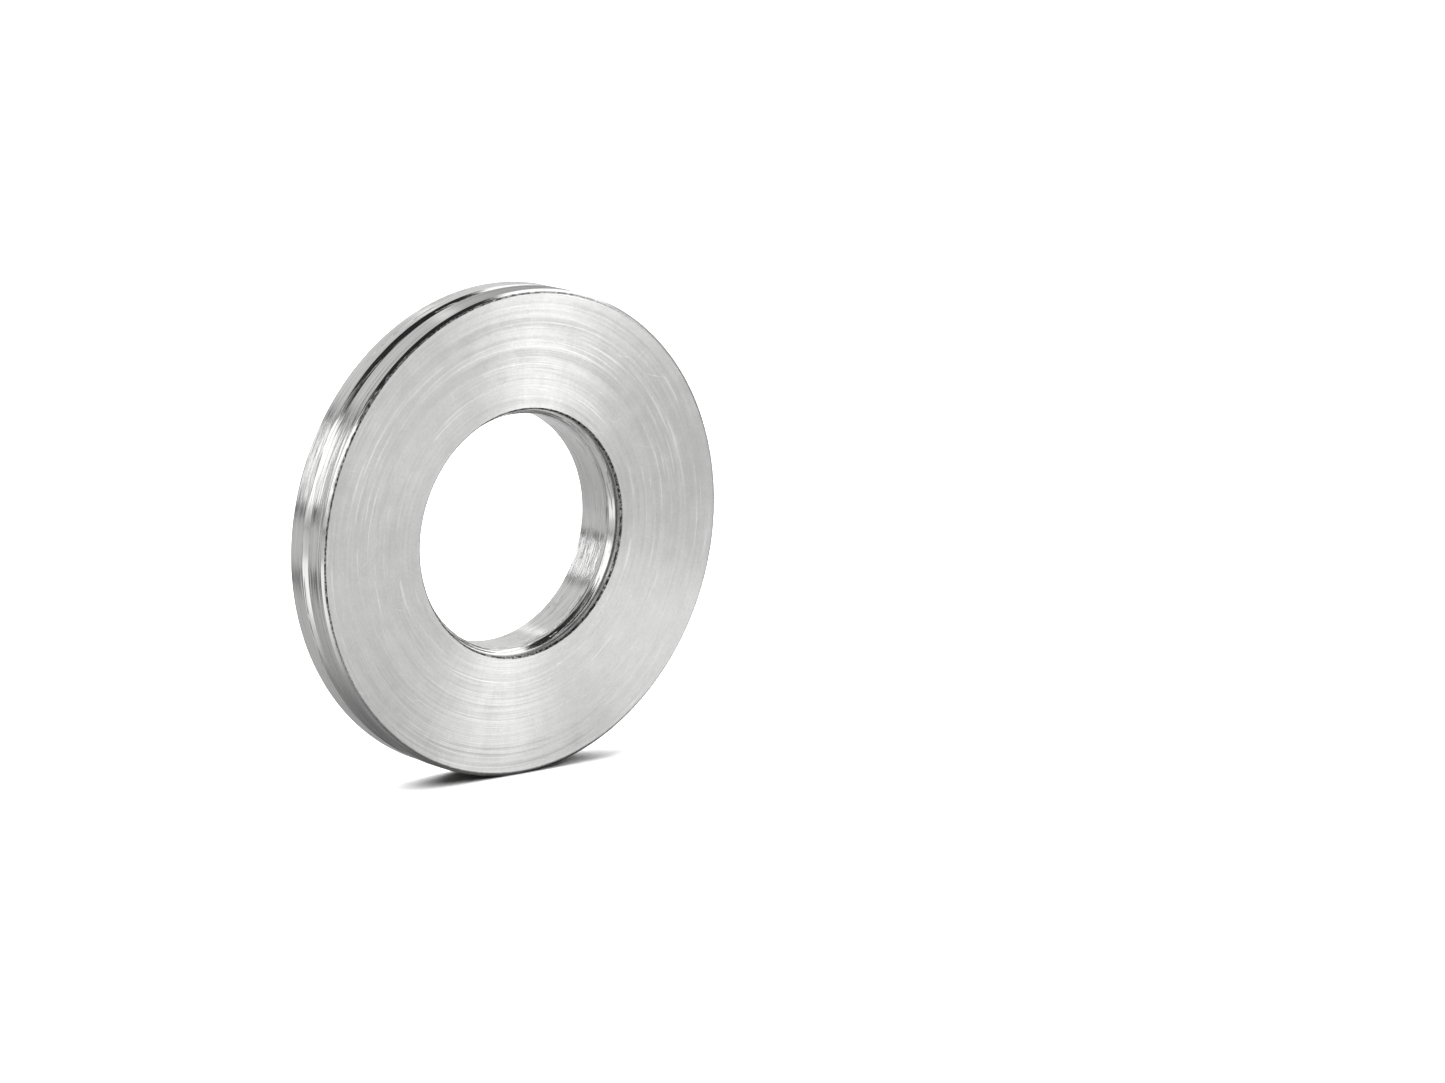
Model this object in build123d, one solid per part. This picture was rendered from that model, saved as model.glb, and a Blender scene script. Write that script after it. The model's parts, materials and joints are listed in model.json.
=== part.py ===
from build123d import *
from math import cos, radians, sin, sqrt
import os

# Thrust ball bearing in millimetres, its axis along Y, standing on its rim with +Z up.
# The origin is the middle of the bearing. The housing washer faces -Y and the shaft washer faces +Y.

# Driving dimensions
SHAFT_BORE = 12.0
OUTSIDE_DIAMETER = 25.0
THICKNESS = 2.9
BALL_DIAMETER = 1.5
BALL_COUNT = 24
PITCH_RADIUS = 9.3

# Fits and running gaps
GROOVE_CLEARANCE = 0.02
POCKET_CLEARANCE = 0.05
CAGE_SIDE_GAP = 0.10
WASHER_GAP = 0.05

# Edges
OUTER_CHAMFER = 0.16
JOINT_CHAMFER = 0.5
BORE_CHAMFER = 0.12
EDGE_BREAK = 0.05
LIP_EDGE_BREAK = 0.08

# Washers: the shaft washer's raised hub runs inside a recess behind the housing washer's thin lip
HOUSING_WASHER_RIM = 1.24
HOUSING_WASHER_BORE = 12.7
LIP_THICKNESS = 0.35
SHAFT_WASHER_OUTSIDE = 24.9
HUB_RADIUS = 7.0
HUB_SIDE_GAP = 0.10
HUB_CHAMFER = 0.22
LEAD_IN_LENGTH = 0.18
LEAD_IN_RISE = 0.06

# Cage and the channel that it turns in
CAGE_THICKNESS = 0.5
CAGE_WIDTH = 2.1
HOUSING_CHANNEL_GAP = 0.10
SHAFT_CHANNEL_GAP = 0.15

# Worked out from the driving dimensions
FRONT = -THICKNESS / 2
BACK = THICKNESS / 2
BALL_RADIUS = BALL_DIAMETER / 2
GROOVE_RADIUS = 0.52 * BALL_DIAMETER
CHANNEL_INNER = PITCH_RADIUS - CAGE_WIDTH / 2 - CAGE_SIDE_GAP
CHANNEL_OUTER = PITCH_RADIUS + CAGE_WIDTH / 2 + CAGE_SIDE_GAP
HOUSING_LAND = FRONT + HOUSING_WASHER_RIM
SHAFT_LAND = HOUSING_LAND + WASHER_GAP


def groove(floor, side):
    """Raceway arc across the pitch circle, from its outer edge on the channel floor to its inner edge.

    side is -1 for the groove in front of the balls and +1 for the one behind them.
    """
    bottom = side * (BALL_RADIUS + GROOVE_CLEARANCE)
    centre = bottom - side * GROOVE_RADIUS
    half_width = sqrt(GROOVE_RADIUS**2 - (floor - centre) ** 2)
    outer_edge = (PITCH_RADIUS + half_width, floor)
    inner_edge = (PITCH_RADIUS - half_width, floor)
    return outer_edge, (PITCH_RADIUS, bottom), inner_edge


def turned(profile):
    """Solid of revolution about Y from a closed outline given as edges (X is the radius)."""
    return revolve(make_face(profile), Axis.Y, 360)


def make_housing_washer():
    """Front washer: flat seat, full outside diameter, thin lip over the shaft washer's hub."""
    outside = OUTSIDE_DIAMETER / 2
    bore = HOUSING_WASHER_BORE / 2
    recess = HUB_RADIUS + HUB_SIDE_GAP
    lip_back = FRONT + LIP_THICKNESS
    channel_floor = -CAGE_THICKNESS / 2 - HOUSING_CHANNEL_GAP
    outer_edge, bottom, inner_edge = groove(channel_floor, -1)
    rim_side = Polyline(
        (bore, FRONT + LIP_EDGE_BREAK),
        (bore + LIP_EDGE_BREAK, FRONT),
        (outside - OUTER_CHAMFER, FRONT),
        (outside, FRONT + OUTER_CHAMFER),
        (outside, HOUSING_LAND - EDGE_BREAK),
        (outside - EDGE_BREAK, HOUSING_LAND),
        (CHANNEL_OUTER, HOUSING_LAND),
        (CHANNEL_OUTER, channel_floor),
        outer_edge,
    )
    raceway = ThreePointArc(outer_edge, bottom, inner_edge)
    bore_side = Polyline(
        inner_edge,
        (CHANNEL_INNER, channel_floor),
        (CHANNEL_INNER, HOUSING_LAND),
        (recess, HOUSING_LAND),
        (recess, lip_back),
        (bore, lip_back),
        (bore, FRONT + LIP_EDGE_BREAK),
    )
    return turned(rim_side.edges() + raceway.edges() + bore_side.edges())


def make_shaft_washer():
    """Rear washer: bore that sits on the shaft, raised hub, wide chamfer at the joint."""
    outside = SHAFT_WASHER_OUTSIDE / 2
    bore = SHAFT_BORE / 2
    hub_top = FRONT + LIP_THICKNESS + WASHER_GAP
    lead_in_top = hub_top + HUB_CHAMFER
    lead_in_end = lead_in_top + LEAD_IN_LENGTH
    channel_floor = CAGE_THICKNESS / 2 + SHAFT_CHANNEL_GAP
    outer_edge, bottom, inner_edge = groove(channel_floor, 1)
    bore_side = Polyline(
        inner_edge,
        (CHANNEL_INNER, channel_floor),
        (CHANNEL_INNER, SHAFT_LAND),
        (HUB_RADIUS, SHAFT_LAND),
        (HUB_RADIUS, hub_top + EDGE_BREAK),
        (HUB_RADIUS - EDGE_BREAK, hub_top),
        (bore + LEAD_IN_RISE + HUB_CHAMFER, hub_top),
        (bore + LEAD_IN_RISE, lead_in_top),
        (bore, lead_in_end),
        (bore, BACK - BORE_CHAMFER),
        (bore + BORE_CHAMFER, BACK),
    )
    rim_side = Polyline(
        (bore + BORE_CHAMFER, BACK),
        (outside - OUTER_CHAMFER, BACK),
        (outside, BACK - OUTER_CHAMFER),
        (outside, SHAFT_LAND + JOINT_CHAMFER),
        (outside - JOINT_CHAMFER, SHAFT_LAND),
        (CHANNEL_OUTER, SHAFT_LAND),
        (CHANNEL_OUTER, channel_floor),
        outer_edge,
    )
    raceway = ThreePointArc(outer_edge, bottom, inner_edge)
    return turned(bore_side.edges() + rim_side.edges() + raceway.edges())


def ball_centre(index):
    """Centre of one ball on the pitch circle, the first at the top of the bearing."""
    angle = radians(90 - index * 360 / BALL_COUNT)
    return PITCH_RADIUS * cos(angle), 0, PITCH_RADIUS * sin(angle)


def make_ball_cage():
    """Flat ring with broken edges and one round pocket for each ball."""
    inner = PITCH_RADIUS - CAGE_WIDTH / 2
    outer = PITCH_RADIUS + CAGE_WIDTH / 2
    half = CAGE_THICKNESS / 2
    outline = Polyline(
        (inner + EDGE_BREAK, -half),
        (outer - EDGE_BREAK, -half),
        (outer, EDGE_BREAK - half),
        (outer, half - EDGE_BREAK),
        (outer - EDGE_BREAK, half),
        (inner + EDGE_BREAK, half),
        (inner, half - EDGE_BREAK),
        (inner, EDGE_BREAK - half),
        close=True,
    )
    ring = turned(outline.edges())
    drill = Rot(90, 0, 0) * Cylinder(BALL_RADIUS + POCKET_CLEARANCE, 2 * CAGE_THICKNESS)
    return ring - [Pos(*ball_centre(index)) * drill for index in range(BALL_COUNT)]


def make_ball(index):
    """One steel ball in its pocket."""
    return Pos(*ball_centre(index)) * Sphere(BALL_RADIUS)


parts = {
    "housing_washer": make_housing_washer(),
    "shaft_washer": make_shaft_washer(),
    "ball_cage": make_ball_cage(),
}
for ball in range(BALL_COUNT):
    parts[f"ball_{ball + 1:02d}"] = make_ball(ball)

os.makedirs("parts", exist_ok=True)
for name, solid in parts.items():
    export_step(solid, f"parts/{name}.step")
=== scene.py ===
import json
import math

import bmesh
import bpy
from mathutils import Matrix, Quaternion, Vector

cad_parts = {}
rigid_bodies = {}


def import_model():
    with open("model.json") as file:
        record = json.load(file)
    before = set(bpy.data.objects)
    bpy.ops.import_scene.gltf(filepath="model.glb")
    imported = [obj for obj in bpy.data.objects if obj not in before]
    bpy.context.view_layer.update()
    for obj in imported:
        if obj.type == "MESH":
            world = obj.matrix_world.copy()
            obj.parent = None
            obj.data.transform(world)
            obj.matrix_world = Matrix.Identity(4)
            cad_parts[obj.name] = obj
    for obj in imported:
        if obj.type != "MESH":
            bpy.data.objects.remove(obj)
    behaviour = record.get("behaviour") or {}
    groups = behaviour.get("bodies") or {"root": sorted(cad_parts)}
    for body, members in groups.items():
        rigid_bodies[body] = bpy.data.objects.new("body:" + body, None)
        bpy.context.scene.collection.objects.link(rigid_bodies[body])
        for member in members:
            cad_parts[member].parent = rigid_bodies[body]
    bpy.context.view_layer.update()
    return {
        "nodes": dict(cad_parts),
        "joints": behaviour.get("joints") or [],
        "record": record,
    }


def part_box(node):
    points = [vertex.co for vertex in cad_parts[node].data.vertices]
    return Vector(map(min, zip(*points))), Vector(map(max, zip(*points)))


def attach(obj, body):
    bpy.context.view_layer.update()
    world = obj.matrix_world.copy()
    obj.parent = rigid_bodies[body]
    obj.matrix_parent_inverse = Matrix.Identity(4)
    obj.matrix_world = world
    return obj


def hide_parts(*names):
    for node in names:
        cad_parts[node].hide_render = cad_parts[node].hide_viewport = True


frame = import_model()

# ---------------------------------------------------------------------------------------------
# Camera. A long macro lens on the left of the bearing and a little above it, far enough away
# that the disc shows next to no perspective. It aims to the right of the bearing, so that the
# bearing stands in the left half of the frame.
MM = 0.001
CAMERA_LEFT = 37.4
CAMERA_UP = 12.7
CAMERA_DISTANCE = 700 * MM
LENS = 345.6
AIM_RIGHT = 0.830
AIM_DOWN = 0.033

housing_low, housing_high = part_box("housing_washer")
shaft_low, shaft_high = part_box("shaft_washer")
seat_centre = Vector((0, housing_low.y, 0))

camera = bpy.data.objects.new("camera", bpy.data.cameras.new("camera"))
bpy.context.scene.collection.objects.link(camera)
bpy.context.scene.camera = camera
camera.data.sensor_width = 36
camera.data.lens = LENS
camera.data.clip_start = 0.05
camera.data.clip_end = 20
left, up = math.radians(CAMERA_LEFT), math.radians(CAMERA_UP)
toward_camera = Vector((-math.sin(left) * math.cos(up), -math.cos(left) * math.cos(up), math.sin(up)))
camera.location = seat_centre + toward_camera * CAMERA_DISTANCE
camera.rotation_mode = "QUATERNION"
turn_right = Quaternion((0, 1, 0), -math.radians(AIM_RIGHT))
turn_down = Quaternion((1, 0, 0), -math.radians(AIM_DOWN))
camera.rotation_quaternion = (-toward_camera).to_track_quat("-Z", "Y") @ turn_right @ turn_down

# ---------------------------------------------------------------------------------------------
# Floor and light. The bearing stands on its rim on a pale sheet in a white studio: soft boxes
# stand in front, on the left in front and behind, and on the right, and the ceiling is dark.
# In the steel's reflections the floor's colour carries painted shade on a strip behind the bearing
# and painted light on the floor in front of it; the camera sees the sheet evenly pale. Far away
# the sheet fades into the white of the studio.
FLOOR_HALF = 3.0
FLOOR_COLOUR = 0.9
# In the steel the floor's tone is painted: darker than the camera sees it, with painted shade behind the
# bearing and at its far left, and painted light in front.
FLOOR_IN_STEEL = 0.285
FLOOR_PAINTED_LIGHT_FRONT = 1.2
FLOOR_PAINTED_SHADE_BEHIND = 0.25
FLOOR_FADE = (80 * MM, 400 * MM)
SHADE_STRIP_BEHIND = 16 * MM
FLOOR_PAINTED_SHADE_LEFT = 0.4
STUDIO_WHITE = 1.0
ROOM_DARK = 0.03

scene = bpy.context.scene
scene.view_settings.view_transform = "Standard"


def added(tree, kind, operation=None, **values):
    """New node in a tree with its operation and inputs set; returns its outputs.

    A value goes to the input of that name, with _ for a space, or to input 0, 1 or 2 as _0, _1, _2.
    """
    node = tree.nodes.new(kind)
    if operation:
        node.operation = operation
    for key, value in values.items():
        socket = node.inputs[int(key[1:])] if key[0] == "_" else node.inputs[key.replace("_", " ")]
        if isinstance(value, bpy.types.NodeSocket):
            tree.links.new(value, socket)
        else:
            socket.default_value = value
    return node.outputs


def remap(tree, value, low, high, to_low=0.0, to_high=1.0):
    """Smooth step of a value from one range to another."""
    step = tree.nodes.new("ShaderNodeMapRange")
    step.interpolation_type = "SMOOTHSTEP"
    tree.links.new(value, step.inputs["Value"])
    step.inputs["From Min"].default_value = low
    step.inputs["From Max"].default_value = high
    step.inputs["To Min"].default_value = to_low
    step.inputs["To Max"].default_value = to_high
    return step.outputs["Result"]


def soft_box(tree, direction, azimuth, elevation, half_width, half_height, edge):
    """Mask of one rectangular soft box seen from the bearing.

    Azimuth 0 is in front (-Y) and 90 is on the right (+X). Sizes and the soft edge are in degrees.
    """
    a, e = math.radians(azimuth), math.radians(elevation)
    ahead = Vector((math.sin(a) * math.cos(e), -math.cos(a) * math.cos(e), math.sin(e)))
    side = Vector((math.cos(a), math.sin(a), 0))
    above = side.cross(ahead)

    def along(axis):
        return added(tree, "ShaderNodeVectorMath", "DOT_PRODUCT", _0=direction, _1=axis)["Value"]

    def inside(axis, half):
        angle = added(tree, "ShaderNodeMath", "ARCTAN2", _0=along(axis), _1=along(ahead))[0]
        size = added(tree, "ShaderNodeMath", "ABSOLUTE", _0=angle)[0]
        return remap(tree, size, math.radians(half + edge / 2), math.radians(half - edge / 2))

    wide, tall = inside(side, half_width), inside(above, half_height)
    return added(tree, "ShaderNodeMath", "MULTIPLY", _0=wide, _1=tall)[0]


studio = bpy.data.worlds.new("white studio")
scene.world = studio
studio.use_nodes = True
tree = studio.node_tree
tree.nodes.clear()
link = tree.links.new
direction = tree.nodes.new("ShaderNodeTexCoord").outputs["Generated"]
level = STUDIO_WHITE
studio_boxes = [
    # azimuth, elevation, half width, half height, soft edge, level
    (0, 75, 52, 33, 6, ROOM_DARK),
    (0, 20, 26, 18, 10, 1.9),
    (-46, 20, 9, 15, 3, 2.6),
    (-145, 16, 12, 16, 4, 0.15),
    (-145, 16, 5, 12.5, 3, 2.6),
    (158, 33, 2.5, 14, 5, 1.6),
    (50, 24, 15, 16, 6, 5.8),
    (88, 42, 24, 18, 5, 2.2),
]
for azimuth, elevation, half_width, half_height, edge, box_level in studio_boxes:
    mask = soft_box(tree, direction, azimuth, elevation, half_width, half_height, edge)
    mix = tree.nodes.new("ShaderNodeMix")
    mix.data_type = "FLOAT"
    link(mask, mix.inputs["Factor"])
    if isinstance(level, float):
        mix.inputs["A"].default_value = level
    else:
        link(level, mix.inputs["A"])
    mix.inputs["B"].default_value = box_level
    level = mix.outputs["Result"]
seen = tree.nodes.new("ShaderNodeLightPath")
shown = tree.nodes.new("ShaderNodeMix")
shown.data_type = "FLOAT"
link(seen.outputs["Is Camera Ray"], shown.inputs["Factor"])
link(level, shown.inputs["A"])
shown.inputs["B"].default_value = 1.0
backdrop = tree.nodes.new("ShaderNodeBackground")
link(shown.outputs["Result"], backdrop.inputs["Color"])
link(backdrop.outputs[0], tree.nodes.new("ShaderNodeOutputWorld").inputs["Surface"])

# Painted light and shade on the floor as the steel sees it: two bright pools in front and a patch of painted
# shade at the contact.
painted_floor_patches = [
    # across, depth, full inside, gone outside, how bright the patch is in the steel
    (22 * MM, -18 * MM, 8 * MM, 28 * MM, 1.8),
    (-42 * MM, -22 * MM, 16 * MM, 32 * MM, 1.7),
    (-10 * MM, -1 * MM, 4 * MM, 10 * MM, 0.6),
]
sheet_mesh = bpy.data.meshes.new("floor")
sheet_corners = [
    (across * FLOOR_HALF, depth * FLOOR_HALF, housing_low.z)
    for across, depth in ((-1, -1), (1, -1), (1, 1), (-1, 1))
]
sheet_mesh.from_pydata(sheet_corners, [], [(0, 1, 2, 3)])
sheet = bpy.data.objects.new("floor", sheet_mesh)
scene.collection.objects.link(sheet)
pale = bpy.data.materials.new("pale floor")
pale.use_nodes = True
tree = pale.node_tree
pale_surface = tree.nodes["Principled BSDF"]
place = tree.nodes.new("ShaderNodeTexCoord").outputs["Object"]
across, depth, _ = added(tree, "ShaderNodeSeparateXYZ", _0=place)
# Painted shade in the steel's view of the floor: a strip behind the bearing, darker still at its far left.
behind = added(tree, "ShaderNodeMath", "SUBTRACT", _0=depth, _1=SHADE_STRIP_BEHIND)[0]
behind = added(tree, "ShaderNodeMath", "ABSOLUTE", _0=behind)[0]
far_left = remap(tree, across, -24 * MM, -34 * MM)
painted_shade_left = added(tree, "ShaderNodeMath", "MULTIPLY", _0=far_left, _1=remap(tree, behind, 24 * MM, 14 * MM))[0]
mirrored = remap(tree, behind, 12 * MM, 32 * MM, FLOOR_PAINTED_SHADE_BEHIND, FLOOR_IN_STEEL)
# Painted light on the floor in front of the bearing and painted shade at the far left, as the steel sees
# them.
factors = [remap(tree, depth, 0, -6 * MM, 1.0, FLOOR_PAINTED_LIGHT_FRONT), remap(tree, painted_shade_left, 0, 1, 1.0, FLOOR_PAINTED_SHADE_LEFT)]
for x, y, inner, outer, patch_level in painted_floor_patches:
    from_patch = added(tree, "ShaderNodeVectorMath", "DISTANCE", _0=place, _1=(x, y, housing_low.z))["Value"]
    factors.append(remap(tree, from_patch, outer, inner, 1.0, patch_level))
for factor in factors:
    mirrored = added(tree, "ShaderNodeMath", "MULTIPLY", _0=mirrored, _1=factor)[0]
seen = tree.nodes.new("ShaderNodeLightPath").outputs["Is Glossy Ray"]
tone = remap(tree, seen, 0, 1, FLOOR_COLOUR, 0)
mirrored = added(tree, "ShaderNodeMath", "MULTIPLY", _0=mirrored, _1=seen)[0]
tone = added(tree, "ShaderNodeMath", "ADD", _0=tone, _1=mirrored)[0]
tree.links.new(tone, pale_surface.inputs["Base Color"])
from_bearing = added(tree, "ShaderNodeVectorMath", "LENGTH", _0=place)["Value"]
far = remap(tree, from_bearing, FLOOR_FADE[0], FLOOR_FADE[1])
looked_at = tree.nodes.new("ShaderNodeLightPath").outputs["Is Camera Ray"]
far = added(tree, "ShaderNodeMath", "MULTIPLY", _0=far, _1=looked_at)[0]
tree.links.new(far, pale_surface.inputs["Emission Color"])
pale_surface.inputs["Emission Strength"].default_value = 1.0
pale_surface.inputs["Roughness"].default_value = 0.9
pale_surface.inputs["Specular IOR Level"].default_value = 0.0
sheet_mesh.materials.append(pale)

lamps = [
    # name, place, size, power
    ("back lamp", (-0.05, 0.2, 0.6), 1.25, 22.0),
    ("front lamp", (0.15, -0.45, 0.5), 0.5, 2.5),
]
for name, spot, size, power in lamps:
    lamp = bpy.data.objects.new(name, bpy.data.lights.new(name, "AREA"))
    scene.collection.objects.link(lamp)
    lamp.data.shape = "DISK"
    lamp.data.size = size
    lamp.data.energy = power
    lamp.location = spot
    lamp.rotation_mode = "QUATERNION"
    lamp.rotation_quaternion = (-lamp.location).to_track_quat("-Z", "Y")
    lamp.visible_glossy = False
studio.cycles_visibility.diffuse = False

# ---------------------------------------------------------------------------------------------
# Housing washer. The front washer is a flat steel ring, turned from bar on a lathe: its seat
# still has the fine circular marks of the facing cut. A thin lip at its bore covers the other
# washer's hub, and its inner side has the groove that the balls run in.
FACETS = 720
ARC_STEPS = 5
GUARD = 0.012 * MM
OUTER_CHAMFER = 0.16 * MM
EDGE_ROUND = 0.03 * MM
LIP_THICKNESS = 0.35 * MM
LIP_EDGE = 0.08 * MM
HUB_RADIUS = 7.0 * MM
HUB_GAP = 0.10 * MM
GROOVE_RADIUS = 0.78 * MM
GROOVE_DEPTH = 0.77 * MM
CHANNEL_HALF = 1.15 * MM
HOUSING_CHANNEL = 0.35 * MM
HOUSING_BORE = 6.35 * MM
BURR_HEIGHT = 0.02 * MM
BURRED_SPAN = 0.5 * MM
BURR_RAGGED = 4500
FLAT_ENOUGH = 0.97

balls = [joint for joint in frame["joints"] if joint["parent"] == "ball_cage"]
pitch_radius = Vector(balls[0]["pos_m"]).length


def outline(corners):
    """Closed section of a turned ring as (radius, axial place, burr) points.

    Each corner is (radius, axial place, rounding, burr). A rounded corner is an arc with one more
    point just outside each end, so that smooth shading stays flat on the flat faces beside it.
    """
    points = []
    for index, (radius, place, rounding, burr) in enumerate(corners):
        here = Vector((radius, place))
        before, after = corners[index - 1], corners[(index + 1) % len(corners)]
        burr_before = min(burr, before[3]) if (Vector(before[:2]) - here).length < BURRED_SPAN else 0
        burr_after = min(burr, after[3]) if (Vector(after[:2]) - here).length < BURRED_SPAN else 0
        if rounding == 0:
            points.append((*here, burr))
            continue
        back = (Vector(before[:2]) - here).normalized()
        ahead = (Vector(after[:2]) - here).normalized()
        half = back.angle(ahead) / 2
        reach = rounding / math.tan(half)
        centre = here + (back + ahead).normalized() * rounding / math.sin(half)
        start, end = here + back * reach - centre, here + ahead * reach - centre
        points.append((*(here + back * (reach + GUARD)), burr_before))
        for step in range(ARC_STEPS + 1):
            spoke = start.lerp(end, step / ARC_STEPS).normalized() * rounding
            points.append((*(centre + spoke), burr))
        points.append((*(here + ahead * (reach + GUARD)), burr_after))
    return points


def raceway(floor, side):
    """Corners of a ball groove's arc from its outer edge to its inner edge on the channel floor.

    side is -1 for the groove in front of the balls and +1 for the one behind them.
    """
    centre = side * (GROOVE_DEPTH - GROOVE_RADIUS)
    edge = math.acos((floor - centre) * side / GROOVE_RADIUS)
    steps = 16
    corners = []
    for step in range(steps + 1):
        angle = edge * (1 - 2 * step / steps)
        radius = pitch_radius + GROOVE_RADIUS * math.sin(angle)
        corners.append((radius, centre + side * GROOVE_RADIUS * math.cos(angle), 0, 0))
    return corners


def turned_ring_tree():
    """Sweeps a ring's section round the pitch circle, lifts the burr and sets the finishes."""
    tree = bpy.data.node_groups.new("turned ring", "GeometryNodeTree")
    sockets = {
        "Section": "NodeSocketGeometry",
        "Pitch Radius": "NodeSocketFloat",
        "Facets": "NodeSocketInt",
        "Burr Height": "NodeSocketFloat",
        "Face Finish": "NodeSocketMaterial",
        "Side Finish": "NodeSocketMaterial",
    }
    for name, kind in sockets.items():
        tree.interface.new_socket(name, in_out="INPUT", socket_type=kind)
    tree.interface.new_socket("Ring", in_out="OUTPUT", socket_type="NodeSocketGeometry")
    given = tree.nodes.new("NodeGroupInput").outputs

    # The section moves in by the pitch radius, and the sweep along the pitch circle puts it back.
    inward = added(tree, "ShaderNodeMath", "MULTIPLY", _0=given["Pitch Radius"], _1=-1)[0]
    inward = added(tree, "ShaderNodeCombineXYZ", X=inward)[0]
    section = added(tree, "GeometryNodeMeshToCurve", Mesh=given["Section"])["Curve"]
    section = added(tree, "GeometryNodeTransform", Geometry=section, Translation=inward)["Geometry"]
    circle = added(
        tree, "GeometryNodeCurvePrimitiveCircle", Resolution=given["Facets"], Radius=given["Pitch Radius"]
    )["Curve"]
    upright = tree.nodes.new("GeometryNodeSetCurveNormal")
    upright.mode = "Z_UP"
    tree.links.new(circle, upright.inputs["Curve"])
    path = upright.outputs["Curve"]
    swept = added(tree, "GeometryNodeCurveToMesh", Curve=path, Profile_Curve=section)["Mesh"]
    stood = added(tree, "GeometryNodeTransform", Geometry=swept, Rotation=(math.pi / 2, 0, 0))["Geometry"]

    burr = added(tree, "GeometryNodeInputNamedAttribute", Name="burr")["Attribute"]
    place = tree.nodes.new("GeometryNodeInputPosition").outputs[0]
    ragged = added(tree, "ShaderNodeTexNoise", Vector=place, Scale=BURR_RAGGED, Detail=2)["Fac"]
    height = added(tree, "ShaderNodeMath", "SUBTRACT", _0=ragged, _1=0.5)[0]
    height = added(tree, "ShaderNodeMath", "MULTIPLY", _0=height, _1=given["Burr Height"])[0]
    height = added(tree, "ShaderNodeMath", "MULTIPLY", _0=height, _1=burr)[0]
    outward = added(tree, "ShaderNodeVectorMath", "NORMALIZE", _0=place)[0]
    lift = added(tree, "ShaderNodeVectorMath", "SCALE", _0=outward, Scale=height)[0]
    burred = added(tree, "GeometryNodeSetPosition", Geometry=stood, Offset=lift)["Geometry"]

    side_finish = given["Side Finish"]
    sides = added(tree, "GeometryNodeSetMaterial", Geometry=burred, Material=side_finish)["Geometry"]
    normal = tree.nodes.new("GeometryNodeInputNormal").outputs[0]
    along_axis = added(tree, "ShaderNodeSeparateXYZ", _0=normal)["Y"]
    along_axis = added(tree, "ShaderNodeMath", "ABSOLUTE", _0=along_axis)[0]
    flat = tree.nodes.new("FunctionNodeCompare")
    flat.data_type = "FLOAT"
    flat.operation = "GREATER_THAN"
    flat.inputs["B"].default_value = FLAT_ENOUGH
    tree.links.new(along_axis, flat.inputs["A"])
    finish = {"Geometry": sides, "Selection": flat.outputs["Result"], "Material": given["Face Finish"]}
    faces = added(tree, "GeometryNodeSetMaterial", **finish)["Geometry"]
    smooth = added(tree, "GeometryNodeSetShadeSmooth", Geometry=faces)["Geometry"]
    real = added(tree, "GeometryNodeRealizeInstances", Geometry=smooth)["Geometry"]
    tree.links.new(real, tree.nodes.new("NodeGroupOutput").inputs["Ring"])
    return tree


def made_plain(name, tree, seed_mesh, values):
    """Runs a tree on a seed mesh and returns the result as a plain object with outward faces."""
    seed = bpy.data.objects.new(name + "_seed", seed_mesh)
    bpy.context.scene.collection.objects.link(seed)
    modifier = seed.modifiers.new("shape", "NODES")
    modifier.node_group = tree
    sockets = {item.name: item.identifier for item in tree.interface.items_tree if item.in_out == "INPUT"}
    for socket, value in values.items():
        modifier[sockets[socket]] = value
    evaluated = seed.evaluated_get(bpy.context.evaluated_depsgraph_get())
    mesh = bpy.data.meshes.new_from_object(evaluated)
    bpy.data.objects.remove(seed)
    mesh.name = name
    loose = bmesh.new()
    loose.from_mesh(mesh)
    bmesh.ops.remove_doubles(loose, verts=loose.verts, dist=1e-8)
    bmesh.ops.recalc_face_normals(loose, faces=loose.faces)
    loose.to_mesh(mesh)
    loose.free()
    piece = bpy.data.objects.new(name, mesh)
    bpy.context.scene.collection.objects.link(piece)
    return piece


def section_mesh(name, points):
    """Seed of a turned ring: its section as a closed loop of edges, with the burr kept on it."""
    mesh = bpy.data.meshes.new(name)
    loop = [(index, (index + 1) % len(points)) for index in range(len(points))]
    mesh.from_pydata([(radius, place, 0) for radius, place, burr in points], loop, [])
    burr = mesh.attributes.new("burr", "FLOAT", "POINT")
    burr.data.foreach_set("value", [point[2] for point in points])
    return mesh


def shader_group(name, inputs, outputs):
    """Empty shader group with named float inputs and outputs."""
    group = bpy.data.node_groups.new(name, "ShaderNodeTree")
    for socket in inputs:
        group.interface.new_socket(socket, in_out="INPUT", socket_type="NodeSocketFloat")
    for socket in outputs:
        group.interface.new_socket(socket, in_out="OUTPUT", socket_type="NodeSocketFloat")
    given = group.nodes.new("NodeGroupInput").outputs
    results = group.nodes.new("NodeGroupOutput").inputs
    return group, given, results


def noise_value(tree, vector, scale, detail, seed, rough=0.6):
    """Noise between about 0.3 and 0.7."""
    noise = tree.nodes.new("ShaderNodeTexNoise")
    noise.noise_dimensions = "4D"
    tree.links.new(vector, noise.inputs["Vector"])
    for socket, value in (("W", seed), ("Scale", scale), ("Detail", detail), ("Roughness", rough)):
        noise.inputs[socket].default_value = value
    return noise.outputs["Fac"]


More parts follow.
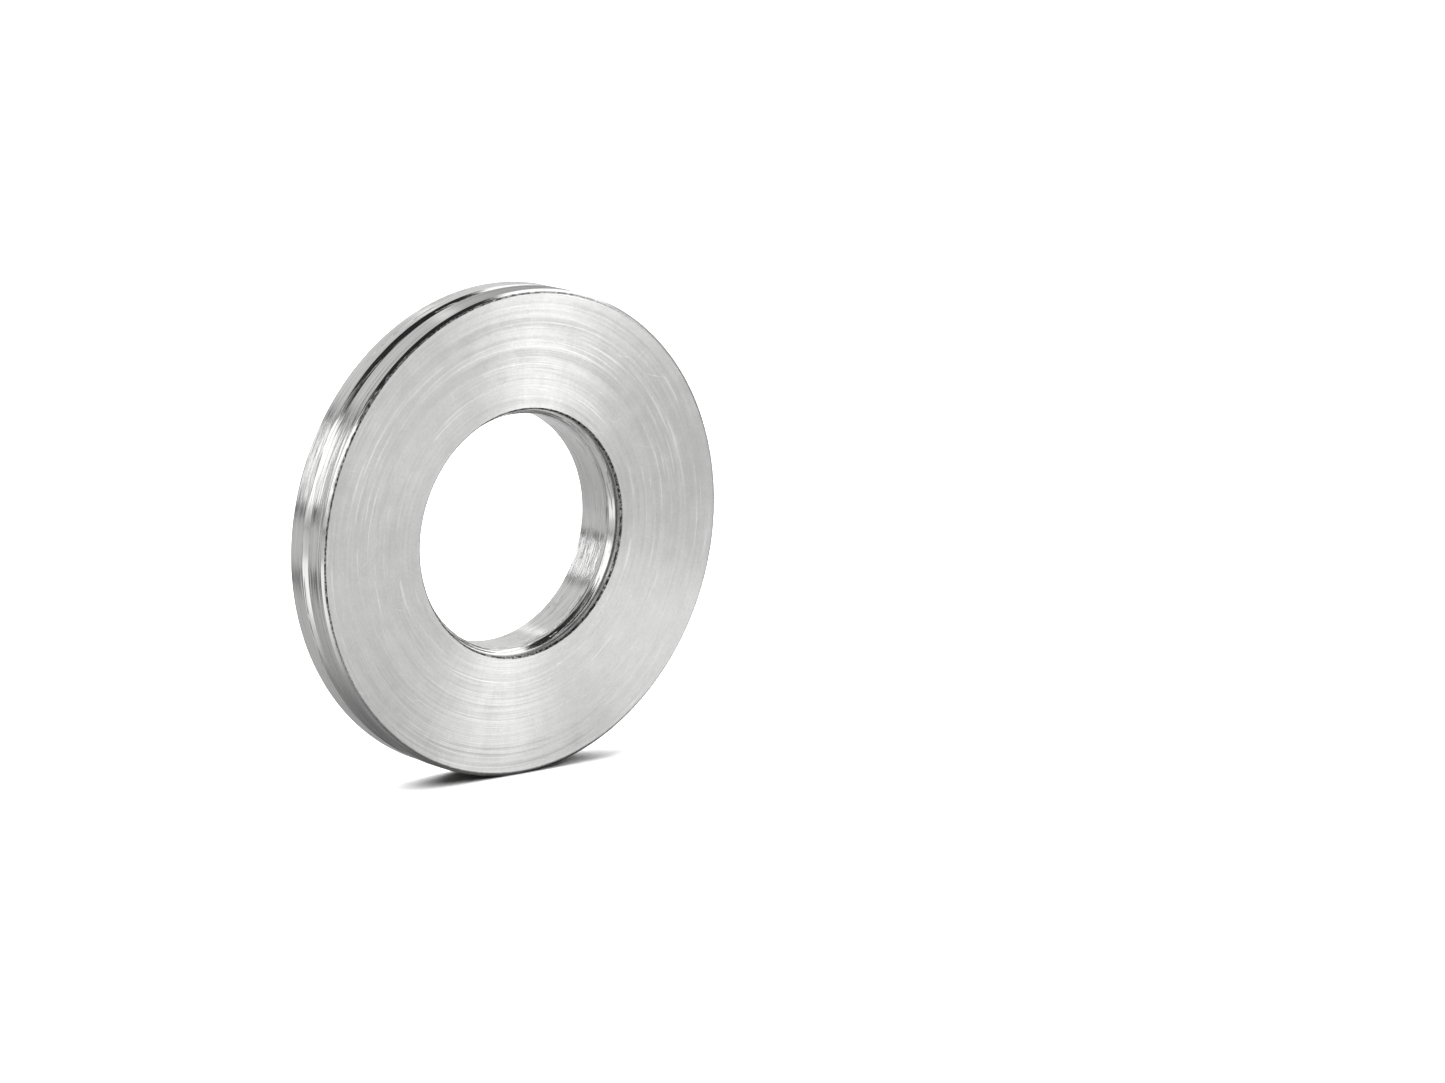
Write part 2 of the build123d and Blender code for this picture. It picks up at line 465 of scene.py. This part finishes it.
def turning_marks():
    """Circular tool marks about the bearing's axis, on any turned surface.

    Height drives a bump, Tone goes from 0 to 1 along the same marks for colour and roughness and
    Score is 1 on the few scored arcs, which get a painted highlight in the turned finish.
    """
    names = ["Fine Marks", "Coarse Marks", "Coarse Share", "Round", "Score Depth"]
    group, given, results = shader_group("turning marks", names, ["Height", "Tone", "Score"])
    place = group.nodes.new("ShaderNodeTexCoord").outputs["Object"]
    flat = added(group, "ShaderNodeVectorMath", "MULTIPLY", _0=place, _1=(1, 0, 1))[0]
    radius = added(group, "ShaderNodeVectorMath", "LENGTH", _0=flat)["Value"]
    around = added(group, "ShaderNodeVectorMath", "NORMALIZE", _0=flat)[0]
    axial = added(group, "ShaderNodeSeparateXYZ", _0=place)["Y"]
    across = added(group, "ShaderNodeCombineXYZ", _0=radius, _1=axial)[0]

    def marks(spacing, seed, round_share):
        """Noise that changes quickly across the marks and slowly along them."""
        amount = added(group, "ShaderNodeMath", "MULTIPLY", _0=given["Round"], _1=round_share)[0]
        stretched = added(group, "ShaderNodeVectorMath", "SCALE", _0=across, Scale=spacing)[0]
        turned = added(group, "ShaderNodeVectorMath", "SCALE", _0=around, Scale=amount)[0]
        joined = added(group, "ShaderNodeVectorMath", "ADD", _0=stretched, _1=turned)[0]
        return noise_value(group, joined, 1.0, 2.0, seed)

    blend = group.nodes.new("ShaderNodeMix")
    blend.data_type = "FLOAT"
    group.links.new(given["Coarse Share"], blend.inputs["Factor"])
    group.links.new(marks(given["Fine Marks"], 3.0, 1.0), blend.inputs["A"])
    group.links.new(marks(given["Coarse Marks"], 11.0, 1.0), blend.inputs["B"])
    both = blend.outputs["Result"]
    score = remap(group, marks(given["Fine Marks"], 29.0, 1.5), 0.59, 0.68)
    scored = added(group, "ShaderNodeMath", "MULTIPLY", _0=score, _1=given["Score Depth"])[0]
    group.links.new(added(group, "ShaderNodeMath", "SUBTRACT", _0=both, _1=scored)[0], results["Height"])
    group.links.new(remap(group, both, 0.40, 0.62), results["Tone"])
    group.links.new(score, results["Score"])
    return group


def handling_wear():
    """Wear of a loose steel part: faint blotches, a fine grain and hair scratches in a few directions.

    Blotch and Grain are about 0.5 on average, Scratch is 1 on a scratch.
    """
    names = ["Blotch Size", "Grain Size", "Scratch Size"]
    group, given, results = shader_group("handling wear", names, ["Blotch", "Grain", "Scratch"])
    place = group.nodes.new("ShaderNodeTexCoord").outputs["Object"]
    blotched, grained, scratched = [
        added(group, "ShaderNodeVectorMath", "SCALE", _0=place, Scale=given[name])[0] for name in names
    ]
    group.links.new(noise_value(group, blotched, 1.0, 5.0, 2.0, 0.65), results["Blotch"])
    group.links.new(noise_value(group, grained, 1.0, 3.0, 7.0, 0.7), results["Grain"])
    scratch = None
    for turn, seed in ((0.35, 1.0), (1.3, 5.0), (2.2, 9.0)):
        turned = group.nodes.new("ShaderNodeVectorRotate")
        turned.rotation_type = "Y_AXIS"
        turned.inputs["Angle"].default_value = turn
        group.links.new(scratched, turned.inputs["Vector"])
        thin = added(group, "ShaderNodeVectorMath", "MULTIPLY", _0=turned.outputs[0], _1=(1, 1, 0.045))[0]
        line = remap(group, noise_value(group, thin, 1.0, 1.0, seed), 0.70, 0.76)
        if scratch is not None:
            line = added(group, "ShaderNodeMath", "MAXIMUM", _0=scratch, _1=line)[0]
        scratch = line
    group.links.new(scratch, results["Scratch"])
    return group


def burr_darkening():
    """How dark the burred edges are: ragged and full round the bore; on the rim the darkening is painted
    shade, heaviest at the upper left and weaker lower down.
    """
    group, given, results = shader_group("burr darkening", ["Grain"], ["Dark"])
    place = group.nodes.new("ShaderNodeTexCoord").outputs["Object"]
    burr = group.nodes.new("ShaderNodeAttribute")
    burr.attribute_name = "burr"
    across, _, upright = added(group, "ShaderNodeSeparateXYZ", _0=place)
    # Painted shade: on the rim the burred edges darken most on the left and at the top.
    on_left = remap(group, across, 1 * MM, 9 * MM, 1.0, 0.25)
    high = remap(group, upright, -1 * MM, -7 * MM, 1.0, 0.5)
    heavy = added(group, "ShaderNodeMath", "MULTIPLY", _0=on_left, _1=high)[0]
    from_middle = added(group, "ShaderNodeVectorMath", "LENGTH", _0=place)["Value"]
    at_bore = remap(group, from_middle, 8 * MM, 10 * MM, 1.0, 0.0)
    heavy = added(group, "ShaderNodeMath", "MAXIMUM", _0=heavy, _1=at_bore)[0]
    ragged = remap(group, given["Grain"], 0.45, 0.6, 1.0, 0.5)
    ragged = added(group, "ShaderNodeMath", "MULTIPLY", _0=ragged, _1=heavy)[0]
    dark = added(group, "ShaderNodeMath", "MULTIPLY", _0=burr.outputs["Fac"], _1=ragged)[0]
    group.links.new(dark, results["Dark"])
    return group


def turned_finish():
    """Marks, wear, the burr darkening with its painted shade and the scored arcs' painted highlight
    together, as a brightness, a roughness and a height for a bump.

    Swing is how much rougher and smoother single arcs are than the rest.
    """
    marks = ["Fine Marks", "Coarse Marks", "Coarse Share", "Round", "Score Depth"]
    names = marks + ["Roughness", "Swing", "Wear", "Burr Darkening"]
    group, given, results = shader_group("turned finish", names, ["Brightness", "Roughness", "Height"])

    def sub_group(tree, inputs):
        node = group.nodes.new("ShaderNodeGroup")
        node.node_tree = tree
        for name, value in inputs.items():
            if isinstance(value, bpy.types.NodeSocket):
                group.links.new(value, node.inputs[name])
            else:
                node.inputs[name].default_value = value
        return node.outputs

    def wear_and_glint_factor(value, low, high, darkest, brightest):
        """A factor about 1 that swings with a value, as far as the wear lets it; it carries the wear marks
        and the scored arcs' painted highlight.
        """
        swing = remap(group, value, low, high, darkest, brightest)
        return added(group, "ShaderNodeMath", "MULTIPLY_ADD", _0=swing, _1=given["Wear"], _2=1.0)[0]

    turning = sub_group(turning_marks(), {name: given[name] for name in marks})
    worn = sub_group(handling_wear(), {"Blotch Size": 900, "Grain Size": 7000, "Scratch Size": 9000})
    # Burr darkening, with painted shade on the rim's upper left.
    dark = sub_group(burr_darkening(), {"Grain": worn["Grain"]})["Dark"]
    burr_dark = added(group, "ShaderNodeMath", "MULTIPLY", _0=dark, _1=given["Burr Darkening"])[0]
    brightness = added(group, "ShaderNodeMath", "SUBTRACT", _0=1.0, _1=burr_dark)[0]
    blotch = wear_and_glint_factor(worn["Blotch"], 0.35, 0.65, -0.05, 0.035)
    factors = [
        remap(group, turning["Tone"], 0.0, 1.0, 0.93, 1.06),
        blotch,
        wear_and_glint_factor(worn["Grain"], 0.3, 0.7, -0.05, 0.04),
        wear_and_glint_factor(worn["Scratch"], 0.0, 1.0, 0.0, 0.12),
        # Painted highlight: the scored arcs are brightened as if they caught the light.
        wear_and_glint_factor(turning["Score"], 0.0, 1.0, 0.0, 0.2),
    ]
    for factor in factors:
        brightness = added(group, "ShaderNodeMath", "MULTIPLY", _0=brightness, _1=factor)[0]
    group.links.new(brightness, results["Brightness"])

    arcs = remap(group, turning["Tone"], 0.0, 1.0, -1.0, 1.0)
    arcs = added(group, "ShaderNodeMath", "MULTIPLY_ADD", _0=arcs, _1=given["Swing"], _2=1.0)[0]
    rough = added(group, "ShaderNodeMath", "MULTIPLY", _0=arcs, _1=given["Roughness"])[0]
    rough = added(group, "ShaderNodeMath", "MULTIPLY", _0=rough, _1=blotch)[0]
    rough = added(group, "ShaderNodeMath", "MULTIPLY_ADD", _0=dark, _1=0.3, _2=rough)[0]
    group.links.new(rough, results["Roughness"])

    grain = added(group, "ShaderNodeMath", "MULTIPLY", _0=worn["Grain"], _1=0.06)[0]
    pitted = added(group, "ShaderNodeMath", "MULTIPLY_ADD", _0=worn["Scratch"], _1=-0.10, _2=grain)[0]
    height = added(
        group, "ShaderNodeMath", "MULTIPLY_ADD", _0=pitted, _1=given["Wear"], _2=turning["Height"]
    )[0]
    group.links.new(height, results["Height"])
    return group


finish_group = turned_finish()


def turned_metal(name, colour, spread, depth, glancing, finish):
    """Bare turned metal whose marks run round the axis and smear its reflections across them.

    spread is how much the marks smear, depth is the marks' depth, glancing is how bright the
    metal stays at a glancing angle, and finish sets the inputs of the turned finish.
    """
    material = bpy.data.materials.new(name)
    material.use_nodes = True
    tree = material.node_tree
    surface = tree.nodes["Principled BSDF"]
    surface.inputs["Metallic"].default_value = 1.0
    surface.inputs["Anisotropic"].default_value = spread
    surface.inputs["Anisotropic Rotation"].default_value = 0.25
    surface.inputs["Specular Tint"].default_value = (glancing, glancing, glancing, 1)
    tangent = tree.nodes.new("ShaderNodeTangent")
    tangent.direction_type = "RADIAL"
    tangent.axis = "Y"
    tree.links.new(tangent.outputs[0], surface.inputs["Tangent"])
    turned = tree.nodes.new("ShaderNodeGroup")
    turned.node_tree = finish_group
    for socket, value in finish.items():
        turned.inputs[socket].default_value = value
    shade = added(tree, "ShaderNodeVectorMath", "SCALE", _0=colour, Scale=turned.outputs["Brightness"])[0]
    relief = added(tree, "ShaderNodeBump", Strength=1.0, Distance=depth, Height=turned.outputs["Height"])[0]
    tree.links.new(shade, surface.inputs["Base Color"])
    tree.links.new(turned.outputs["Roughness"], surface.inputs["Roughness"])
    tree.links.new(relief, surface.inputs["Normal"])
    return material


faced_finish = {
    "Fine Marks": 6500,
    "Coarse Marks": 2400,
    "Coarse Share": 0.5,
    "Round": 1.5,
    "Score Depth": 0.0,
    "Roughness": 0.43,
    "Swing": 0.22,
    "Wear": 1.0,
    "Burr Darkening": 0.95,
}
rim_finish = {
    "Fine Marks": 7000,
    "Coarse Marks": 3500,
    "Coarse Share": 0.5,
    "Round": 0.7,
    "Score Depth": 0.5,
    "Roughness": 0.14,
    "Swing": 0.15,
    "Wear": 0.12,
    "Burr Darkening": 0.95,
}
STEEL = (0.53, 0.53, 0.525)
faced_steel = turned_metal("faced steel", STEEL, 0.85, 0.03 * MM, 1.0, faced_finish)
rim_steel = turned_metal("rim steel", STEEL, 0.5, 0.045 * MM, 0.5, rim_finish)
ring_tree = turned_ring_tree()


def ring(name, corners, face_finish, side_finish, burr_height=0.0):
    """One turned ring, standing in the CAD node's place."""
    seed = section_mesh(name + "_section", outline(corners))
    values = {
        "Pitch Radius": pitch_radius,
        "Facets": FACETS,
        "Burr Height": burr_height,
        "Face Finish": face_finish,
        "Side Finish": side_finish,
    }
    return made_plain(name, ring_tree, seed, values)


seat = housing_low.y
land = housing_high.y
rim = housing_high.x
lip_back = seat + LIP_THICKNESS
channel_floor = -HOUSING_CHANNEL
housing_corners = [
    (HOUSING_BORE, seat + LIP_EDGE, EDGE_ROUND, 1),
    (HOUSING_BORE + LIP_EDGE, seat, EDGE_ROUND, 1),
    (rim - OUTER_CHAMFER, seat, 0.12 * MM, 1),
    (rim, seat + OUTER_CHAMFER, 2 * EDGE_ROUND, 0),
    (rim, land, EDGE_ROUND, 0),
    (pitch_radius + CHANNEL_HALF, land, EDGE_ROUND, 0),
    (pitch_radius + CHANNEL_HALF, channel_floor, 0, 0),
    *raceway(channel_floor, -1),
    (pitch_radius - CHANNEL_HALF, channel_floor, 0, 0),
    (pitch_radius - CHANNEL_HALF, land, EDGE_ROUND, 0),
    (HUB_RADIUS + HUB_GAP, land, EDGE_ROUND, 0),
    (HUB_RADIUS + HUB_GAP, lip_back, 0, 0),
    (HOUSING_BORE, lip_back, EDGE_ROUND, 0.45),
]
housing = ring("housing_ring", housing_corners, faced_steel, rim_steel, BURR_HEIGHT)
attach(housing, "housing_washer")
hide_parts("housing_washer")

# ---------------------------------------------------------------------------------------------
# Shaft washer. The rear washer is turned from the same steel. Its smaller bore sits on the
# shaft, its raised hub reaches up under the housing washer's lip, and a wide chamfer on its
# rim makes the line where the two washers meet.
JOINT_CHAMFER = 0.50 * MM
BORE_CHAMFER = 0.12 * MM
WASHER_GAP = 0.05 * MM
HUB_CHAMFER = 0.22 * MM
LEAD_IN = 0.18 * MM
LEAD_IN_RISE = 0.06 * MM
SHAFT_CHANNEL = 0.40 * MM

mounts = {mount["name"]: mount for mount in frame["record"]["mounts"]}
bore = mounts["shaft_bore"]["dims"]["r_mm"] * MM
back = shaft_high.y
shaft_rim = shaft_high.x
shaft_land = land + WASHER_GAP
hub_top = shaft_low.y
lead_in_top = hub_top + HUB_CHAMFER
bored_finish = {
    "Fine Marks": 8000,
    "Coarse Marks": 4500,
    "Coarse Share": 0.5,
    "Round": 2.0,
    "Score Depth": 0.8,
    "Roughness": 0.15,
    "Swing": 0.15,
    "Wear": 0.15,
    "Burr Darkening": 0.95,
}
bored_steel = turned_metal("bored steel", STEEL, 0.5, 0.045 * MM, 1.0, bored_finish)
shaft_corners = [
    (bore + BORE_CHAMFER, back, EDGE_ROUND, 0),
    (shaft_rim - OUTER_CHAMFER, back, 2 * EDGE_ROUND, 0),
    (shaft_rim, back - OUTER_CHAMFER, 2 * EDGE_ROUND, 0),
    (shaft_rim, shaft_land + JOINT_CHAMFER, 2 * EDGE_ROUND, 0),
    (shaft_rim - JOINT_CHAMFER, shaft_land, EDGE_ROUND, 0),
    (pitch_radius + CHANNEL_HALF, shaft_land, EDGE_ROUND, 0),
    (pitch_radius + CHANNEL_HALF, SHAFT_CHANNEL, 0, 0),
    *raceway(SHAFT_CHANNEL, 1),
    (pitch_radius - CHANNEL_HALF, SHAFT_CHANNEL, 0, 0),
    (pitch_radius - CHANNEL_HALF, shaft_land, EDGE_ROUND, 0),
    (HUB_RADIUS, shaft_land, 0, 0),
    (HUB_RADIUS, hub_top, EDGE_ROUND, 0),
    (bore + LEAD_IN_RISE + HUB_CHAMFER, hub_top, EDGE_ROUND, 0),
    (bore + LEAD_IN_RISE, lead_in_top, EDGE_ROUND, 0),
    (bore, lead_in_top + LEAD_IN, EDGE_ROUND, 0),
    (bore, back - BORE_CHAMFER, EDGE_ROUND, 0),
]
shaft = ring("shaft_ring", shaft_corners, faced_steel, bored_steel)
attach(shaft, "shaft_washer")
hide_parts("shaft_washer")

# ---------------------------------------------------------------------------------------------
# Cage. A flat brass ring, turned and then drilled with one round pocket for each ball, which
# it carries round at half the shaft washer's speed. It is sealed between the washers.
cage_node = frame["nodes"]["ball_cage"]
cage_finish = {
    "Fine Marks": 7000,
    "Coarse Marks": 2000,
    "Coarse Share": 0.4,
    "Round": 1.0,
    "Score Depth": 0.2,
    "Roughness": 0.34,
    "Swing": 0.1,
    "Wear": 0.6,
    "Burr Darkening": 0.0,
}
cage_brass = turned_metal("cage brass", (0.72, 0.52, 0.22), 0.5, 0.002 * MM, 1.0, cage_finish)
cage_node.data.materials.clear()
cage_node.data.materials.append(cage_brass)

# ---------------------------------------------------------------------------------------------
# Balls. Hardened chrome steel, ground and polished, one in each pocket of the cage.
ball_finish = {
    "Fine Marks": 9000,
    "Coarse Marks": 2000,
    "Coarse Share": 0.5,
    "Round": 1.0,
    "Score Depth": 0.0,
    "Roughness": 0.08,
    "Swing": 0.1,
    "Wear": 0.3,
    "Burr Darkening": 0.0,
}
ball_steel = turned_metal("ball steel", (0.62, 0.62, 0.63), 0.0, 0.0001 * MM, 1.0, ball_finish)
for joint in balls:
    ball_node = frame["nodes"][joint["child"]]
    ball_node.data.materials.clear()
    ball_node.data.materials.append(ball_steel)
